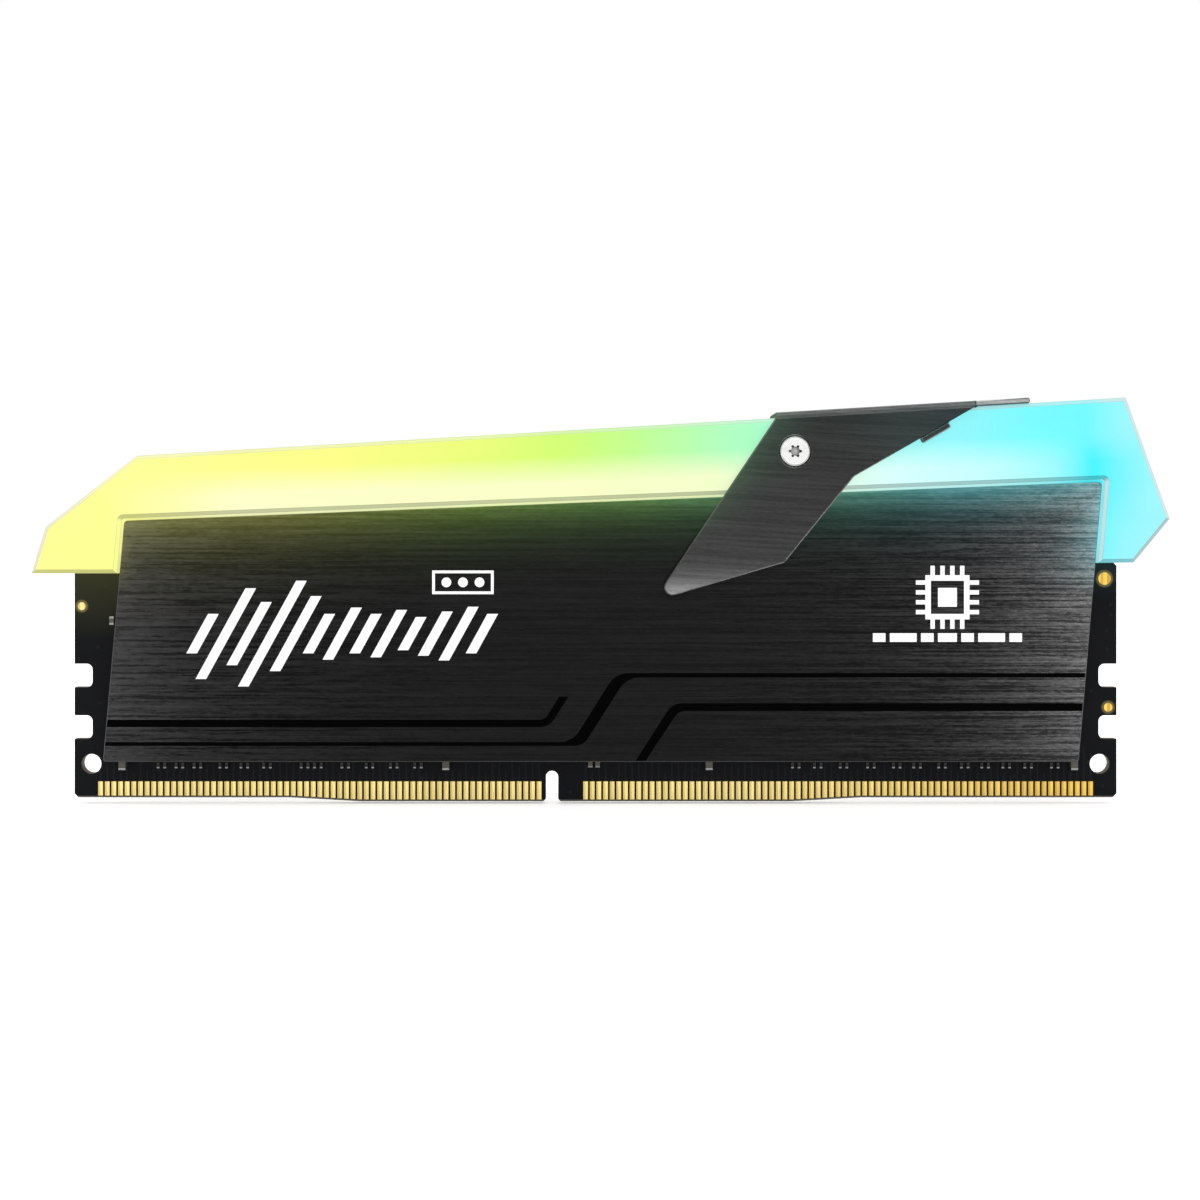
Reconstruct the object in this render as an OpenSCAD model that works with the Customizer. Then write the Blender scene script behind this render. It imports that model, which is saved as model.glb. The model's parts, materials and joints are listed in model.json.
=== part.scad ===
// Desktop memory module: a 288-contact circuit board between two aluminium heat spreaders,
// under a glowing light guide that a folded metal trim clip is screwed to.
// X runs along the board, Z up from the card edge, and the front faces -Y.
// The origin is the middle of the card edge, halfway through the board's thickness.

/* [Circuit board] */
// Length of the board, end to end
board_w = 133.35; // [133.2:0.05:133.5]
// Height of the board above the card edge
board_h = 31.25; // [31:0.05:31.5]
// Thickness of the board
board_t = 1.4; // [1.2:0.1:1.5]
// Height of the two latch notches in each end of the board
notch_h = 3.0; // [2.6:0.1:3.2]
// Diameter of the tooling hole near each end of the card edge
tooling_d = 2.5; // [2.3:0.1:2.6]

/* [Gold contacts] */
// Distance between neighbouring contacts
contact_pitch = 0.85; // [0.84:0.005:0.85]
// Width of one contact
contact_w = 0.6; // [0.45:0.05:0.65]
// Height of one contact's top above the card edge
contact_top = 2.55; // [2.3:0.05:2.8]

/* [Memory chips] */
// Width of one memory chip
chip_w = 8.0; // [7:0.5:10]
// Height of one memory chip
chip_h = 11.0; // [9:0.5:12]
// Thickness of one memory chip
chip_t = 1.1; // [1:0.05:1.2]
// Distance between neighbouring memory chips
chip_pitch = 14.0; // [12.5:0.25:14.25]
// Memory chips on each side of the board's middle, on each face
chips_per_half = 4; // [2:1:4]

/* [Heat spreaders] */
// Thickness of one heat spreader's sheet
spreader_t = 0.8; // [0.6:0.1:1.2]
// Thickness of the thermal pad between chips and spreader
pad_t = 0.3; // [0.3:0.1:0.5]
// Width of the fine chamfer round the heat spreader
spreader_chamfer = 0.1; // [0.05:0.05:0.2]

/* [Light guide] */
// How far the light guide stands proud of each heat spreader
guide_step = 0.4; // [0.3:0.1:0.6]
// Width of the bevel round the light guide's faces
guide_bevel = 0.5; // [0.3:0.05:0.6]
// Gap between the light guide and the heat spreader it frames
guide_gap = 0.3; // [0.2:0.05:0.4]
// Number of side-firing lamps along the top of the board
lamp_count = 8; // [4:1:10]

/* [Trim clip] */
// Thickness of the trim clip's folded sheet
clip_t = 0.7; // [0.5:0.1:0.8]
// Length of the small hook folded into the light guide
hook_len = 4.0; // [3:0.5:5]

/* [Clip screws] */
// Diameter of the screw's head
head_d = 3.7; // [3.4:0.1:3.8]
// Thickness of the screw's head
head_t = 0.6; // [0.5:0.05:0.7]
// Diameter of the screw's thread
thread_d = 2.0; // [1.6:0.2:2]

/* [Hidden] */

$fn = 48;
// Steps in each rounded corner of an outline
arc_steps = 6;
// Overlap that makes two touching shapes one solid
weld = 0.05;

// The layers from the board's middle outwards
board_face = board_t / 2;
chip_face = board_face + chip_t;
spreader_in = chip_face + pad_t;
spreader_out = spreader_in + spreader_t;
guide_face = spreader_out + guide_step;
clip_face = guide_face + clip_t;
guide_tape_t = 0.3;
tongue_face = spreader_in - guide_tape_t;

// The card edge rises a little towards both ends: [x, height]
card_edge = [[-39, 0.5], [-30, 0], [25, 0], [34, 0.5]];
board_end = board_w / 2;
board_top_chamfer = 1.1;
board_foot_chamfer = 0.5;

// Key notch in the card edge
key_x = -5.575;
key_w = 1.6;
key_top = 3.9;
key_mouth = 0.3;

// Latch notches in both ends of the board
notch_depth = 2.3;
notch_r = 0.75;
notch_heights = [9.5, 16.1];

// Tooling holes
tooling_x = 64.5;
tooling_z = 4.8;

// Contacts: the two rows stop on either side of the key notch
contact_t = 0.05;
contact_foot = 0.25;
left_count = 67;
left_first = -7.225;
right_count = 77;
right_first = -1.275;

// Bare gold pads on the front: [x, z, diameter]
front_pads = [[-65.74, 24.97, 1.0], [65.12, 28.5, 1.6], [65.58, 12.04, 1.1]];
pad_lift = 0.05;

// Memory chips
first_chip_x = 13.5;
chip_mid_z = 15;

// Chips that look after the board
spd_size = [2, 0.75, 3];
controller_size = [3, 0.75, 3];
controller_z = 26;

// Side-firing lamps under the light guide
lamp_span = 112;
lamp_size = [3.2, 1.0, 1.5];
lamp_lens = [2.4, 0.7, 0.12];
lamp_z = board_h - lamp_size.z - 0.15;

// Damping resistors stand in pairs above the contacts: x of each pair
resistor_pairs = [
    -55.5, -53.2, -50.9, -47.6, -44.9, -42.0, -37.2, -35.5, -32.0, -28.9, -25.8, -22.7,
    25.6, 28.4, 31.7, 35.2, 38.5, 41.1, 44.3, 47.2, 49.8, 52.5, 55.3, 58.7
];
resistor_pair_gap = 0.85;
resistor_size = [0.36, 0.25, 0.75];
resistor_end = 0.22;
resistor_z = 4.25;

// Capacitors: the big ones show below the spreader, the small ones feed the memory chips
big_cap_size = [0.9, 0.8, 1.6];
big_cap_x = [-60.4, -19.1, 14.5, 61.1];
big_cap_z = 4.1;
small_cap_size = [0.6, 0.5, 1.1];
centre_cap_x = [-0.66, 0.26];
centre_cap_z = 4.4;
feed_cap_z = 22.6;
feed_cap_step = 1.8;
edge_cap_x = -61.8;
cap_end = 0.3;

// Heat spreader outline: [x, z, edge radius, face radius]
spreader_corners = [
    [-62.45, 5.34, 0.3, 0.3], [61.26, 5.34, 0.3, 0.3],
    [64.24, 40.85, 0.5, 0.5], [-59.75, 35.9, 0.5, 0.5]
];
spreader_outline = [for (c = spreader_corners) [c[0], c[1]]];

// Thermal pad over the memory chips
pad_size = [120, 13];

// Light guide: its top line climbs from left to right
guide_top_left = [-58.13, 44.14];
guide_top_right = [67.21, 51.52];
guide_slope = atan2(guide_top_right.y - guide_top_left.y, guide_top_right.x - guide_top_left.x);
guide_foot_left = 29.23;
guide_foot_right = 30.6;
board_slot = 0.15;
tongue_z = board_h + 0.35;
screw_place = [25.18, 44.67];

// Trim clip: its bridge lies on the guide's top line between these x values
bridge_from = 22.77;
front_blade_to = 48.05;
back_blade_to = 55.0;
blade_tip = [7.3, 25.75];
blade_heel = [23.85, 30.63];
blade_elbow = [32.65, 41.49];
hook_t = 0.75;
hook_depth = 1.0;
hook_root = 0.3;
hook_clear = 0.1;
hook_share = 0.66;
counterbore_d = 4.0;
counterbore_depth = 0.35;
clip_hole_d = 2.2;
screw_len = 2.7;
star_r = 0.58;
star_lobe_r = 0.17;
star_reach = 0.67;
star_depth = 0.42;

// Blank label on the back
label_size = [38, 0.1, 12];
label_at = [-26, 18];

// ---------- Outline functions ----------

// Height of the card edge at x
function edge_z(x) = lookup(x, card_edge);

// Height of the light guide's top line at x
function guide_top_z(x) = guide_top_left.y + (x - guide_top_left.x) * tan(guide_slope);

// Point on the light guide's top line at x
function on_top(x) = [x, guide_top_z(x)];

// Where the line from a to b reaches height z
function at_height(a, b, z) = [a.x + (z - a.y) * (b.x - a.x) / (b.y - a.y), z];

// v turned anticlockwise by angle
function turned(v, angle) = [
    v.x * cos(angle) - v.y * sin(angle),
    v.x * sin(angle) + v.y * cos(angle)
];

// Corner i of an anticlockwise outline after every edge has moved inwards by distance
function inset_corner(p, i, distance) =
    let (
        a = p[(i + len(p) - 1) % len(p)],
        b = p[i],
        c = p[(i + 1) % len(p)],
        u = (b - a) / norm(b - a),
        v = (c - b) / norm(c - b)
    )
    b + [-u.y - v.y, u.x + v.x] * distance / (1 + u * v);

// The whole outline moved inwards by distance
function inset(p, distance) = [for (i = [0:len(p) - 1]) inset_corner(p, i, distance)];

// Arc that rounds the corner b between a and c
function corner_arc(a, b, c, r) =
    let (
        u = (b - a) / norm(b - a),
        v = (c - b) / norm(c - b),
        turn = atan2(cross(u, v), u * v),
        start = b - u * r * tan(abs(turn) / 2),
        spoke = [u.y, -u.x] * r * sign(turn)
    )
    [for (k = [0:arc_steps]) start - spoke + turned(spoke, turn * k / arc_steps)];

// Outline with corner i rounded by radii[i]; a radius of 0 leaves it sharp
function rounded(p, radii) = [
    for (i = [0:len(p) - 1])
        let (a = p[(i + len(p) - 1) % len(p)], c = p[(i + 1) % len(p)])
            each (radii[i] > 0 ? corner_arc(a, p[i], c, radii[i]) : [p[i]])
];

// Outline of corners [x, z, edge radius, face radius], moved inwards by distance
function edge_ring(corners) =
    rounded([for (c = corners) [c[0], c[1]]], [for (c = corners) c[2]]);
function face_ring(corners, distance) =
    rounded(inset([for (c = corners) [c[0], c[1]]], distance), [for (c = corners) c[3]]);

// Points of an outline set at depth y
function at_depth(p, y) = [for (q = p) [q.x, y, q.y]];

// Triangles that join ring number j of n points to the next ring
function band(n, j) = [
    for (i = [0:n - 1])
        let (k = (i + 1) % n)
            each [
                [j * n + i, j * n + k, (j + 1) * n + k],
                [j * n + i, (j + 1) * n + k, (j + 1) * n + i]
            ]
];

// Corners of the light guide's outside: [x, z, edge radius, face radius]
guide_corners = [
    [guide_top_left.x, guide_top_left.y, 0, 0],
    [-69.65, 35.16, 0, 0],
    [-71.53, guide_foot_left, 0, 0],
    [-60.6, guide_foot_left, 0, 0],
    [68.22, guide_foot_right, 0, 0],
    [72.77, 36.18, 0, 0],
    [guide_top_right.x, guide_top_right.y, 0, 0]
];

// The pocket in the light guide that the heat spreader fits into
pocket_outline = inset(spreader_outline, -guide_gap);
pocket_edge_r = 0.35;
pocket_face_r = 0.8;
pocket_corners = [for (c = pocket_outline) [c[0], c[1], pocket_edge_r, pocket_face_r]];

// Corners of a blade, from the fold on the guide's top line down to the tip: [x, z, radius]
function blade_corners(blade_to) = [
    [bridge_from, guide_top_z(bridge_from), 0],
    [blade_tip.x, blade_tip.y, 1.0],
    [blade_heel.x, blade_heel.y, 0.5],
    [blade_elbow.x, blade_elbow.y, 0.4],
    [blade_to, guide_top_z(blade_to), 0]
];

// ---------- Shared shapes ----------

// Upright solid through a list of rings, each [outline, depth] with the same number of points
module ringed_solid(rings) {
    n = len(rings[0][0]);
    last = len(rings) - 1;
    points = [for (r = rings) each at_depth(r[0], r[1])];
    front_cap = [for (i = [n - 1:-1:0]) i];
    back_cap = [for (i = [0:n - 1]) last * n + i];
    walls = [for (j = [0:last - 1]) each band(n, j)];
    polyhedron(points, concat([front_cap], walls, [back_cap]));
}

// Plate between two depths, chamfered on both faces
module chamfered_plate(corners, y_front, y_back, chamfer) {
    edge = edge_ring(corners);
    face = face_ring(corners, chamfer);
    ringed_solid([
        [face, y_front],
        [edge, y_front + chamfer],
        [edge, y_back - chamfer],
        [face, y_back]
    ]);
}

// Cutter for an opening through a plate of half thickness half, flared at both faces
module flared_cutter(corners, half, flare) {
    edge = edge_ring(corners);
    mouth = face_ring(corners, -flare);
    past = 1;
    ringed_solid([
        [mouth, -half - past],
        [mouth, -half],
        [edge, -half + flare],
        [edge, half - flare],
        [mouth, half],
        [mouth, half + past]
    ]);
}

// Upright flat plate from a 2D outline drawn in X and Z, between two depths
module upright(y_front, y_back) {
    translate([0, y_back, 0])
        rotate([90, 0, 0])
            linear_extrude(y_back - y_front)
                children();
}

// The same shape on the front, or mirrored onto the back
module on_face(back) {
    mirror([0, back ? 1 : 0, 0])
        children();
}

// Box centred on x, standing on height z, from the board's front face outwards
module on_board(x, z, size) {
    translate([x - size.x / 2, -board_face - size.y, z])
        cube(size);
}

// Round bore along Y, between two depths
module bore_y(x, z, d, y_front, y_back) {
    translate([x, y_back, z])
        rotate([90, 0, 0])
            cylinder(d = d, h = y_back - y_front);
}

// Moves and tilts its children to lie along the light guide's top line from x
module along_top(x) {
    translate([x, 0, guide_top_z(x)])
        rotate([0, -guide_slope, 0])
            children();
}

// ---------- Circuit board ----------

module board_outline() {
    polygon([
        [-board_end, edge_z(-board_end) + board_foot_chamfer],
        [-board_end + board_foot_chamfer, edge_z(-board_end)],
        each card_edge,
        [board_end - board_foot_chamfer, edge_z(board_end)],
        [board_end, edge_z(board_end) + board_foot_chamfer],
        [board_end, board_h - board_top_chamfer],
        [board_end - board_top_chamfer, board_h],
        [-board_end + board_top_chamfer, board_h],
        [-board_end, board_h - board_top_chamfer]
    ]);
}

// Key notch with a round top and a flared mouth
module key_notch() {
    key_r = key_w / 2;
    translate([key_x, key_top - key_r])
        circle(r = key_r);
    translate([key_x - key_r, -1])
        square([key_w, key_top - key_r + 1]);
    polygon([
        [key_x - key_r - key_mouth - 1, -1],
        [key_x + key_r + key_mouth + 1, -1],
        [key_x + key_r, key_mouth],
        [key_x - key_r, key_mouth]
    ]);
}

// Latch notch with round inner corners, cut into the end on side -1 or 1
module latch_notch(side, z) {
    inner_x = board_end - notch_depth;
    translate([side * (inner_x + notch_r + board_end + 1) / 2, z])
        square([board_end + 1 - inner_x - notch_r, notch_h], center = true);
    translate([side * (inner_x + notch_r), z])
        square([2 * notch_r, notch_h - 2 * notch_r], center = true);
    for (up = [-1, 1])
        translate([side * (inner_x + notch_r), z + up * (notch_h / 2 - notch_r)])
            circle(r = notch_r);
}

module circuit_board() {
    color([0.09, 0.10, 0.11])
        difference() {
            upright(-board_face, board_face)
                difference() {
                    board_outline();
                    key_notch();
                    for (side = [-1, 1], z = notch_heights)
                        latch_notch(side, z);
                }
            for (side = [-1, 1])
                bore_y(side * tooling_x, tooling_z, tooling_d, -board_t, board_t);
        }
}

module contact(x) {
    foot = edge_z(x) + contact_foot;
    on_board(x, foot, [contact_w, contact_t, contact_top - foot]);
}

module contact_rows() {
    for (i = [0:left_count - 1])
        contact(left_first - i * contact_pitch);
    for (i = [0:right_count - 1])
        contact(right_first + i * contact_pitch);
}

module contacts_front() {
    color([0.83, 0.66, 0.30])
        contact_rows();
}

module contacts_back() {
    color([0.83, 0.66, 0.30])
        on_face(back = true)
            contact_rows();
}

module test_pads() {
    color([0.83, 0.66, 0.30])
        for (p = front_pads)
            bore_y(p[0], p[1], p[2], -board_face - pad_lift, -board_face);
}

// ---------- Chips and small parts ----------

// x of every memory chip on one face
function chip_places() = [
    for (side = [-1, 1], i = [0:chips_per_half - 1])
        side * (first_chip_x + i * chip_pitch)
];

module chip_row() {
    for (x = chip_places())
        on_board(x, chip_mid_z - chip_h / 2, [chip_w, chip_t, chip_h]);
}

module dram_chips_front() {
    color([0.12, 0.12, 0.13])
        chip_row();
}

module dram_chips_back() {
    color([0.12, 0.12, 0.13])
        on_face(back = true)
            chip_row();
}

module spd_chip() {
    color([0.14, 0.14, 0.15])
        on_board(0, chip_mid_z, spd_size);
}

module led_controller() {
    color([0.14, 0.14, 0.15])
        on_face(back = true)
            on_board(0, controller_z, controller_size);
}

// x of every lamp
function lamp_places() = [
    for (i = [0:lamp_count - 1])
        -lamp_span / 2 + i * lamp_span / (lamp_count - 1)
];

module led_housings() {
    color([0.93, 0.93, 0.90])
        for (x = lamp_places())
            on_board(x, lamp_z, lamp_size);
}

module led_lenses() {
    color([0.98, 0.93, 0.55])
        for (x = lamp_places())
            translate([0, -(lamp_size.y - lamp_lens.y) / 2, 0])
                on_board(x, lamp_z + lamp_size.z, lamp_lens);
}

// Middle of a two-ended part: the length between its metal ends
module part_body(x, z, size, end) {
    on_board(x, z + end, [size.x, size.y, size.z - 2 * end]);
}

// The two metal ends of such a part
module part_ends(x, z, size, end) {
    for (foot = [z, z + size.z - end])
        on_board(x, foot, [size.x, size.y, end]);
}

// Every capacitor on one face: [x, z, size]
function capacitor_places() = [
    for (x = big_cap_x) [x, big_cap_z, big_cap_size],
    for (x = centre_cap_x) [x, centre_cap_z, small_cap_size],
    for (x = chip_places(), s = [-1, 1]) [x + s * feed_cap_step, feed_cap_z, small_cap_size],
    [edge_cap_x, feed_cap_z, small_cap_size]
];

module capacitor_bodies() {
    for (c = capacitor_places())
        part_body(c[0], c[1], c[2], cap_end);
}

module capacitor_ends() {
    for (c = capacitor_places())
        part_ends(c[0], c[1], c[2], cap_end);
}

module capacitors_front() {
    color([0.55, 0.45, 0.33])
        capacitor_bodies();
}

module capacitors_back() {
    color([0.55, 0.45, 0.33])
        on_face(back = true)
            capacitor_bodies();
}

module capacitor_ends_front() {
    color([0.75, 0.75, 0.74])
        capacitor_ends();
}

module capacitor_ends_back() {
    color([0.75, 0.75, 0.74])
        on_face(back = true)
            capacitor_ends();
}

// x of every damping resistor on one face
function resistor_places() = [
    for (x = resistor_pairs, s = [-1, 1])
        x + s * resistor_pair_gap / 2
];

module resistor_bodies() {
    for (x = resistor_places())
        part_body(x, resistor_z, resistor_size, resistor_end);
}

module resistor_ends() {
    for (x = resistor_places())
        part_ends(x, resistor_z, resistor_size, resistor_end);
}

module resistors_front() {
    color([0.10, 0.10, 0.11])
        resistor_bodies();
}

module resistors_back() {
    color([0.10, 0.10, 0.11])
        on_face(back = true)
            resistor_bodies();
}

module resistor_ends_front() {
    color([0.75, 0.75, 0.74])
        resistor_ends();
}

module resistor_ends_back() {
    color([0.75, 0.75, 0.74])
        on_face(back = true)
            resistor_ends();
}

// ---------- Heat spreaders ----------

module thermal_pad() {
    translate([-pad_size.x / 2, -spreader_in, chip_mid_z - pad_size.y / 2])
        cube([pad_size.x, pad_t, pad_size.y]);
}

module thermal_pad_front() {
    color([0.62, 0.64, 0.68])
        thermal_pad();
}

module thermal_pad_back() {
    color([0.62, 0.64, 0.68])
        on_face(back = true)
            thermal_pad();
}

module heat_spreader() {
    chamfered_plate(spreader_corners, -spreader_out, -spreader_in, spreader_chamfer);
}

module heat_spreader_front() {
    color([0.13, 0.13, 0.13])
        heat_spreader();
}

module heat_spreader_back() {
    color([0.13, 0.13, 0.13])
        on_face(back = true)
            heat_spreader();
}

// ---------- Light guide ----------

// Tongue that reaches down between the spreaders to the lamps
module tongue_outline() {
    foot_left = at_height(pocket_outline[0], pocket_outline[3], tongue_z);
    foot_right = at_height(pocket_outline[1], pocket_outline[2], tongue_z);
    polygon([
        foot_left - [1, 0],
        foot_right + [1, 0],
        pocket_outline[2] + [1, 1],
        pocket_outline[3] + [-1, 1]
    ]);
}

// Slot that straddles the board's upper corners
module board_corner_slot() {
    half = board_face + board_slot;
    translate([-board_end - board_slot, -half, 0])
        cube([board_w + 2 * board_slot, 2 * half, board_h + board_slot]);
}

// Middle of the hook on a blade's slanted edge
function hook_place(blade_to) =
    blade_elbow + (on_top(blade_to) - blade_elbow) * hook_share;

// Box lying along a blade's slanted edge: below by drop, above by rise, longer by extra
module edge_box(blade_to, y_front, y_back, drop, rise, extra) {
    middle = hook_place(blade_to);
    run = on_top(blade_to) - blade_elbow;
    translate([middle.x, y_front, middle.y])
        rotate([0, -atan2(run.y, run.x), 0])
            translate([-hook_len / 2 - extra, 0, -drop])
                cube([hook_len + 2 * extra, y_back - y_front, drop + rise]);
}

// Pocket in the guide for the hook
module hook_pocket(blade_to) {
    edge_box(
        blade_to, -guide_face - 1, -guide_face + hook_depth + hook_clear,
        hook_t + hook_clear, 0, hook_clear
    );
}

// Blind hole for one clip screw
module guide_screw_hole() {
    bore_y(
        screw_place.x, screw_place.y, thread_d,
        -guide_face - 1, -clip_face + counterbore_depth + screw_len + 0.2
    );
}

module light_guide() {
    color([0.80, 1.00, 0.55])
        difference() {
            union() {
                difference() {
                    chamfered_plate(guide_corners, -guide_face, guide_face, guide_bevel);
                    flared_cutter(pocket_corners, guide_face, guide_bevel);
                }
                upright(-tongue_face, tongue_face)
                    tongue_outline();
            }
            board_corner_slot();
            guide_screw_hole();
            hook_pocket(front_blade_to);
            on_face(back = true) {
                guide_screw_hole();
                hook_pocket(back_blade_to);
            }
        }
}

// Tape between the tongue and one spreader
module guide_tape() {
    inner = inset(spreader_outline, 1);
    foot = tongue_z + 0.8;
    upright(-spreader_in, -tongue_face)
        polygon([
            at_height(inner[0], inner[3], foot),
            at_height(inner[1], inner[2], foot),
            inner[2],
            inner[3]
        ]);
}

module guide_tape_front() {
    color([0.85, 0.85, 0.82])
        guide_tape();
}

module guide_tape_back() {
    color([0.85, 0.85, 0.82])
        on_face(back = true)
            guide_tape();
}

// ---------- Trim clip ----------

// One blade lying on the guide's face, with its hook
module blade(blade_to) {
    difference() {
        upright(-clip_face, -guide_face)
            polygon(edge_ring(blade_corners(blade_to)));
        bore_y(screw_place.x, screw_place.y, clip_hole_d, -clip_face - 1, -guide_face + 1);
        bore_y(
            screw_place.x, screw_place.y, counterbore_d,
            -clip_face - 1, -clip_face + counterbore_depth
        );
    }
    edge_box(blade_to, -clip_face + 0.1, -guide_face, hook_t, hook_root, 0);
    edge_box(blade_to, -clip_face + 0.1, -guide_face + hook_depth, hook_t, 0, 0);
}

// Rounded fold between a blade and the bridge
module fold(blade_to) {
    run = (blade_to - bridge_from) / cos(guide_slope);
    along_top(bridge_from)
        intersection() {
            translate([0, -guide_face, 0])
                rotate([0, 90, 0])
                    cylinder(r = clip_t, h = run);
            translate([0, -clip_face, -weld])
                cube([run, clip_t + weld, clip_t + weld]);
        }
}

// Flat bridge across the guide's top
module bridge() {
    run = (back_blade_to - bridge_from) / cos(guide_slope);
    along_top(bridge_from)
        translate([0, -guide_face, 0])
            cube([run, 2 * guide_face, clip_t]);
}

module trim_clip() {
    color([0.22, 0.22, 0.22])
        union() {
            bridge();
            blade(front_blade_to);
            fold(front_blade_to);
            on_face(back = true) {
                blade(back_blade_to);
                fold(back_blade_to);
            }
        }
}

// Foam tape between a blade's lower half and the spreader under it
module trim_tape(blade_to) {
    blade_outline = [for (c = blade_corners(blade_to)) [c[0], c[1]]];
    upright(-guide_face, -spreader_out)
        intersection() {
            polygon(inset(blade_outline, 1.2));
            polygon(inset(spreader_outline, 1.2));
        }
}

module trim_tape_front() {
    color([0.10, 0.10, 0.10])
        trim_tape(front_blade_to);
}

module trim_tape_back() {
    color([0.10, 0.10, 0.10])
        on_face(back = true)
            trim_tape(back_blade_to);
}

// ---------- Clip screws ----------

// Six-lobed driver recess
module star_recess() {
    circle(r = star_r);
    for (i = [0:5])
        rotate(60 * i)
            translate([star_reach, 0])
                circle(r = star_lobe_r);
}

// Flat-headed machine screw, seated in the blade's counterbore
module clip_screw() {
    seat = -clip_face + counterbore_depth;
    rim = 0.12;
    slack = 0.03;
    translate([screw_place.x, seat, screw_place.y])
        rotate([90, 0, 0])
            difference() {
                union() {
                    cylinder(d = head_d, h = head_t - rim);
                    translate([0, 0, head_t - rim])
                        cylinder(d1 = head_d, d2 = head_d - 2 * rim, h = rim);
                    translate([0, 0, -screw_len])
                        cylinder(d = thread_d - 2 * slack, h = screw_len + weld);
                }
                translate([0, 0, head_t - star_depth])
                    linear_extrude(star_depth + 1)
                        star_recess();
            }
}

module clip_screw_front() {
    color([0.88, 0.88, 0.87])
        clip_screw();
}

module clip_screw_back() {
    color([0.88, 0.88, 0.87])
        on_face(back = true)
            clip_screw();
}

// ---------- Label ----------

module rating_label() {
    color([0.90, 0.90, 0.88])
        translate([label_at.x - label_size.x / 2, spreader_out, label_at.y - label_size.z / 2])
            cube(label_size);
}

circuit_board();
contacts_front();
contacts_back();
test_pads();
dram_chips_front();
dram_chips_back();
spd_chip();
led_controller();
led_housings();
led_lenses();
capacitors_front();
capacitors_back();
capacitor_ends_front();
capacitor_ends_back();
resistors_front();
resistors_back();
resistor_ends_front();
resistor_ends_back();
thermal_pad_front();
thermal_pad_back();
heat_spreader_front();
heat_spreader_back();
light_guide();
guide_tape_front();
guide_tape_back();
trim_clip();
trim_tape_front();
trim_tape_back();
clip_screw_front();
clip_screw_back();
rating_label();
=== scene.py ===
"""Looks of the desktop memory module: finishes, printed marks, light and camera.

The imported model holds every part's shape and place. This script gives each part its
finish, and adds the thin prints on the heat spreaders. Blender works in metres, while
sizes here are in millimetres, as in the part's source: MM turns one into the other.
X runs along the board, Z up from the card edge, and the front faces -Y.
"""

import json
import math

import bmesh
import bpy
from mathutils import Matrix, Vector


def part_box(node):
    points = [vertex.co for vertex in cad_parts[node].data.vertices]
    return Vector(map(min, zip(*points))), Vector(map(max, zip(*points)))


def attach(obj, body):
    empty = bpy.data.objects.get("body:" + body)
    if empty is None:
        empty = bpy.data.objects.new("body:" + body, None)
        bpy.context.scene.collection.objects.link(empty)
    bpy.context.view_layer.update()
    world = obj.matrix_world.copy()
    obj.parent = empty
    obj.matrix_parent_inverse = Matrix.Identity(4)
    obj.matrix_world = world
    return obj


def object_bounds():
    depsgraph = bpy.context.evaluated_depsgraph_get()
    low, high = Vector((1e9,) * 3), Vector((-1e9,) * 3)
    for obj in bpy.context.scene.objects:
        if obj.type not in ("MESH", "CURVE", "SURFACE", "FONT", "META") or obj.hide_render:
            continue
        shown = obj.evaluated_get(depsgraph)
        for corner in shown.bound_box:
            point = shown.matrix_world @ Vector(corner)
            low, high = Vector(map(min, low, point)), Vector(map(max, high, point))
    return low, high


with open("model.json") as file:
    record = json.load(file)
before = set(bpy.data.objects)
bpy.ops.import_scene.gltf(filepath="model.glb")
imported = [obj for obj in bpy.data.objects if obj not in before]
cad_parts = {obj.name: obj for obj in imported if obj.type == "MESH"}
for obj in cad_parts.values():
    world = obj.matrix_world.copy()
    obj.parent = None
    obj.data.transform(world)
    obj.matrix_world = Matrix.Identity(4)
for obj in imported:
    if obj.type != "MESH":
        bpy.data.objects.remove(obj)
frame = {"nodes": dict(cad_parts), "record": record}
CAD_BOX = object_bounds()
MM = 0.001

# Heat spreader: its slanted ends and its top line, in mm
SPREADER_FOOT = 5.34
SPREADER_LEFT = -62.45
SPREADER_LEFT_LEAN = 0.0884
SPREADER_RIGHT = 61.26
SPREADER_RIGHT_LEAN = 0.0839
TOP_LINE_Z = 38.285
TOP_LINE_SLOPE = 0.0399

# Light guide: how far its faces stand from the board's middle, how wide its bevels
# look, and where the paler band above the heat spreader begins to fade and ends
GUIDE_FACE = 3.3
GUIDE_BEVEL = 0.5
EDGE_LINE = 0.08
BAND_TOP = 2.6
BAND_END = 6.0

# Trim clip: its brushing follows the light guide's top line
CLIP_SLOPE = math.radians(3.37)
CLIP_TOP_Z = 47.36
CLIP_TIP_Z = 27.0
CLIP_FRONT_END = 48.2
# Its slanted left edge: where it would meet the card edge, and its lean in dx/dz
CLIP_LEFT = -9.9
CLIP_LEAN = 0.668

# Clip screws: their axis, and how far their heads stand from the board's middle
SCREW_X = 25.18
SCREW_Z = 44.67
SCREW_FACE = 4.25

# Gold contacts repeat at this pitch from this x, on both sides of the key notch
CONTACT_PITCH = 0.85
CONTACT_X = -1.275
CONTACT_TOP = 2.55
# The two rows of contacts, from x to x
CONTACT_ROWS = [(-63.7, -6.9), (-1.6, 63.7)]
# Half the width of a track under the lacquer, as a share of the pitch
TRACK_HALF_WIDTH = 0.13

# Bare test pads on the front: x, z and radius
TEST_PADS = [(-65.74, 24.97, 0.5), (65.12, 28.5, 0.8), (65.58, 12.04, 0.55)]

# Studio: half the floor's side in metres, and its gap under the module in mm
FLOOR_REACH = 1.5
FLOOR_GAP = 0.3

# Prints: thickness of the ink, how far it sinks into the metal, and its distance from edges
INK = 0.02
INK_SINK = 0.01
INK_MARGIN = 0.12

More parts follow.
